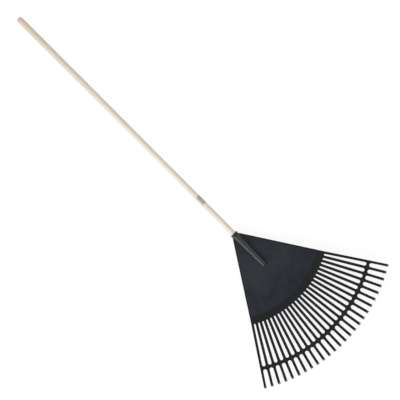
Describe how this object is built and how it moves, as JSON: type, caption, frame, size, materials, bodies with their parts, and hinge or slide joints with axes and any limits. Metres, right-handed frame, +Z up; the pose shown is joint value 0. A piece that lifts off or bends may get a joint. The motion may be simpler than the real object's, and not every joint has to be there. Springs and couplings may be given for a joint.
{
  "type": "leaf rake",
  "caption": "Leaf rake with a wide fan of springy black plastic tines, a scalloped cross bar and a long plain wooden handle.",
  "frame": {"origin": "at ground level under the middle of the rake's box, as it lies top side up on flat ground", "axes": "+X from the handle towards the tine tips, +Z up out of the head's top face, +Y across the fan, to the left when looking along +X"},
  "size_m": [2.0246, 0.7756, 0.0543],
  "materials": {
    "head_plastic": "moulded black polypropylene, fine matt texture, a little dusty",
    "wood": "turned pale softwood with straight grain, thin clear varnish",
    "label_paper": "plain grey paper label, smooth",
    "screw_steel": "zinc-plated pan-head screw"
  },
  "bodies": {
    "rake": {"handle": "wood", "handle_socket": "head_plastic", "fan_panel": "head_plastic", "tine_shafts": "head_plastic", "cross_bar": "head_plastic", "fixing_screw": "screw_steel", "handle_label": "label_paper"},
    "tine_01": {"tine_tip_01": "head_plastic"},
    "tine_02": {"tine_tip_02": "head_plastic"},
    "tine_03": {"tine_tip_03": "head_plastic"},
    "tine_04": {"tine_tip_04": "head_plastic"},
    "tine_05": {"tine_tip_05": "head_plastic"},
    "tine_06": {"tine_tip_06": "head_plastic"},
    "tine_07": {"tine_tip_07": "head_plastic"},
    "tine_08": {"tine_tip_08": "head_plastic"},
    "tine_09": {"tine_tip_09": "head_plastic"},
    "tine_10": {"tine_tip_10": "head_plastic"},
    "tine_11": {"tine_tip_11": "head_plastic"},
    "tine_12": {"tine_tip_12": "head_plastic"},
    "tine_13": {"tine_tip_13": "head_plastic"},
    "tine_14": {"tine_tip_14": "head_plastic"},
    "tine_15": {"tine_tip_15": "head_plastic"},
    "tine_16": {"tine_tip_16": "head_plastic"},
    "tine_17": {"tine_tip_17": "head_plastic"},
    "tine_18": {"tine_tip_18": "head_plastic"},
    "tine_19": {"tine_tip_19": "head_plastic"},
    "tine_20": {"tine_tip_20": "head_plastic"},
    "tine_21": {"tine_tip_21": "head_plastic"},
    "tine_22": {"tine_tip_22": "head_plastic"},
    "tine_23": {"tine_tip_23": "head_plastic"},
    "tine_24": {"tine_tip_24": "head_plastic"},
    "tine_25": {"tine_tip_25": "head_plastic"},
    "tine_26": {"tine_tip_26": "head_plastic"}
  },
  "joints": [
    {"name": "tine_01_flex", "type": "hinge", "parent": "rake", "child": "tine_01", "pos_m": [0.8445, -0.34128, 0.04925], "axis": [-0.5534, -0.8327, -0.0208], "range_deg": [-8, 20], "stiffness_Nm_per_rad": 1.5},
    {"name": "tine_02_flex", "type": "hinge", "parent": "rake", "child": "tine_02", "pos_m": [0.85937, -0.31648, 0.04981], "axis": [-0.5137, -0.8578, -0.0193], "range_deg": [-8, 20], "stiffness_Nm_per_rad": 1.5},
    {"name": "tine_03_flex", "type": "hinge", "parent": "rake", "child": "tine_03", "pos_m": [0.87252, -0.29075, 0.0503], "axis": [-0.4729, -0.8809, -0.0177], "range_deg": [-8, 20], "stiffness_Nm_per_rad": 1.5},
    {"name": "tine_04_flex", "type": "hinge", "parent": "rake", "child": "tine_04", "pos_m": [0.88452, -0.26453, 0.05075], "axis": [-0.4311, -0.9022, -0.0162], "range_deg": [-8, 20], "stiffness_Nm_per_rad": 1.5},
    {"name": "tine_05_flex", "type": "hinge", "parent": "rake", "child": "tine_05", "pos_m": [0.89534, -0.23786, 0.05115], "axis": [-0.3883, -0.9214, -0.0146], "range_deg": [-8, 20], "stiffness_Nm_per_rad": 1.5},
    {"name": "tine_06_flex", "type": "hinge", "parent": "rake", "child": "tine_06", "pos_m": [0.90499, -0.2108, 0.05151], "axis": [-0.3446, -0.9386, -0.0129], "range_deg": [-8, 20], "stiffness_Nm_per_rad": 1.5},
    {"name": "tine_07_flex", "type": "hinge", "parent": "rake", "child": "tine_07", "pos_m": [0.91344, -0.18339, 0.05183], "axis": [-0.3002, -0.9538, -0.0113], "range_deg": [-8, 20], "stiffness_Nm_per_rad": 1.5},
    {"name": "tine_08_flex", "type": "hinge", "parent": "rake", "child": "tine_08", "pos_m": [0.9207, -0.15568, 0.0521], "axis": [-0.2552, -0.9668, -0.0096], "range_deg": [-8, 20], "stiffness_Nm_per_rad": 1.5},
    {"name": "tine_09_flex", "type": "hinge", "parent": "rake", "child": "tine_09", "pos_m": [0.92674, -0.12771, 0.05233], "axis": [-0.2096, -0.9778, -0.0079], "range_deg": [-8, 20], "stiffness_Nm_per_rad": 1.5},
    {"name": "tine_10_flex", "type": "hinge", "parent": "rake", "child": "tine_10", "pos_m": [0.93158, -0.09954, 0.05251], "axis": [-0.1635, -0.9865, -0.0061], "range_deg": [-8, 20], "stiffness_Nm_per_rad": 1.5},
    {"name": "tine_11_flex", "type": "hinge", "parent": "rake", "child": "tine_11", "pos_m": [0.93519, -0.07121, 0.05265], "axis": [-0.117, -0.9931, -0.0044], "range_deg": [-8, 20], "stiffness_Nm_per_rad": 1.5},
    {"name": "tine_12_flex", "type": "hinge", "parent": "rake", "child": "tine_12", "pos_m": [0.93758, -0.04277, 0.05274], "axis": [-0.0703, -0.9975, -0.0026], "range_deg": [-8, 20], "stiffness_Nm_per_rad": 1.5},
    {"name": "tine_13_flex", "type": "hinge", "parent": "rake", "child": "tine_13", "pos_m": [0.93875, -0.01426, 0.05278], "axis": [-0.0235, -0.9997, -0.0009], "range_deg": [-8, 20], "stiffness_Nm_per_rad": 1.5},
    {"name": "tine_14_flex", "type": "hinge", "parent": "rake", "child": "tine_14", "pos_m": [0.93875, 0.01426, 0.05278], "axis": [0.0235, -0.9997, 0.0009], "range_deg": [-8, 20], "stiffness_Nm_per_rad": 1.5},
    {"name": "tine_15_flex", "type": "hinge", "parent": "rake", "child": "tine_15", "pos_m": [0.93758, 0.04277, 0.05274], "axis": [0.0703, -0.9975, 0.0026], "range_deg": [-8, 20], "stiffness_Nm_per_rad": 1.5},
    {"name": "tine_16_flex", "type": "hinge", "parent": "rake", "child": "tine_16", "pos_m": [0.93519, 0.07121, 0.05265], "axis": [0.117, -0.9931, 0.0044], "range_deg": [-8, 20], "stiffness_Nm_per_rad": 1.5},
    {"name": "tine_17_flex", "type": "hinge", "parent": "rake", "child": "tine_17", "pos_m": [0.93158, 0.09954, 0.05251], "axis": [0.1635, -0.9865, 0.0061], "range_deg": [-8, 20], "stiffness_Nm_per_rad": 1.5},
    {"name": "tine_18_flex", "type": "hinge", "parent": "rake", "child": "tine_18", "pos_m": [0.92674, 0.12771, 0.05233], "axis": [0.2096, -0.9778, 0.0079], "range_deg": [-8, 20], "stiffness_Nm_per_rad": 1.5},
    {"name": "tine_19_flex", "type": "hinge", "parent": "rake", "child": "tine_19", "pos_m": [0.9207, 0.15568, 0.0521], "axis": [0.2552, -0.9668, 0.0096], "range_deg": [-8, 20], "stiffness_Nm_per_rad": 1.5},
    {"name": "tine_20_flex", "type": "hinge", "parent": "rake", "child": "tine_20", "pos_m": [0.91344, 0.18339, 0.05183], "axis": [0.3002, -0.9538, 0.0113], "range_deg": [-8, 20], "stiffness_Nm_per_rad": 1.5},
    {"name": "tine_21_flex", "type": "hinge", "parent": "rake", "child": "tine_21", "pos_m": [0.90499, 0.2108, 0.05151], "axis": [0.3446, -0.9386, 0.0129], "range_deg": [-8, 20], "stiffness_Nm_per_rad": 1.5},
    {"name": "tine_22_flex", "type": "hinge", "parent": "rake", "child": "tine_22", "pos_m": [0.89534, 0.23786, 0.05115], "axis": [0.3883, -0.9214, 0.0146], "range_deg": [-8, 20], "stiffness_Nm_per_rad": 1.5},
    {"name": "tine_23_flex", "type": "hinge", "parent": "rake", "child": "tine_23", "pos_m": [0.88452, 0.26453, 0.05075], "axis": [0.4311, -0.9022, 0.0162], "range_deg": [-8, 20], "stiffness_Nm_per_rad": 1.5},
    {"name": "tine_24_flex", "type": "hinge", "parent": "rake", "child": "tine_24", "pos_m": [0.87252, 0.29075, 0.0503], "axis": [0.4729, -0.8809, 0.0177], "range_deg": [-8, 20], "stiffness_Nm_per_rad": 1.5},
    {"name": "tine_25_flex", "type": "hinge", "parent": "rake", "child": "tine_25", "pos_m": [0.85937, 0.31648, 0.04981], "axis": [0.5137, -0.8578, 0.0193], "range_deg": [-8, 20], "stiffness_Nm_per_rad": 1.5},
    {"name": "tine_26_flex", "type": "hinge", "parent": "rake", "child": "tine_26", "pos_m": [0.8445, 0.34128, 0.04925], "axis": [0.5534, -0.8327, 0.0208], "range_deg": [-8, 20], "stiffness_Nm_per_rad": 1.5}
  ]
}
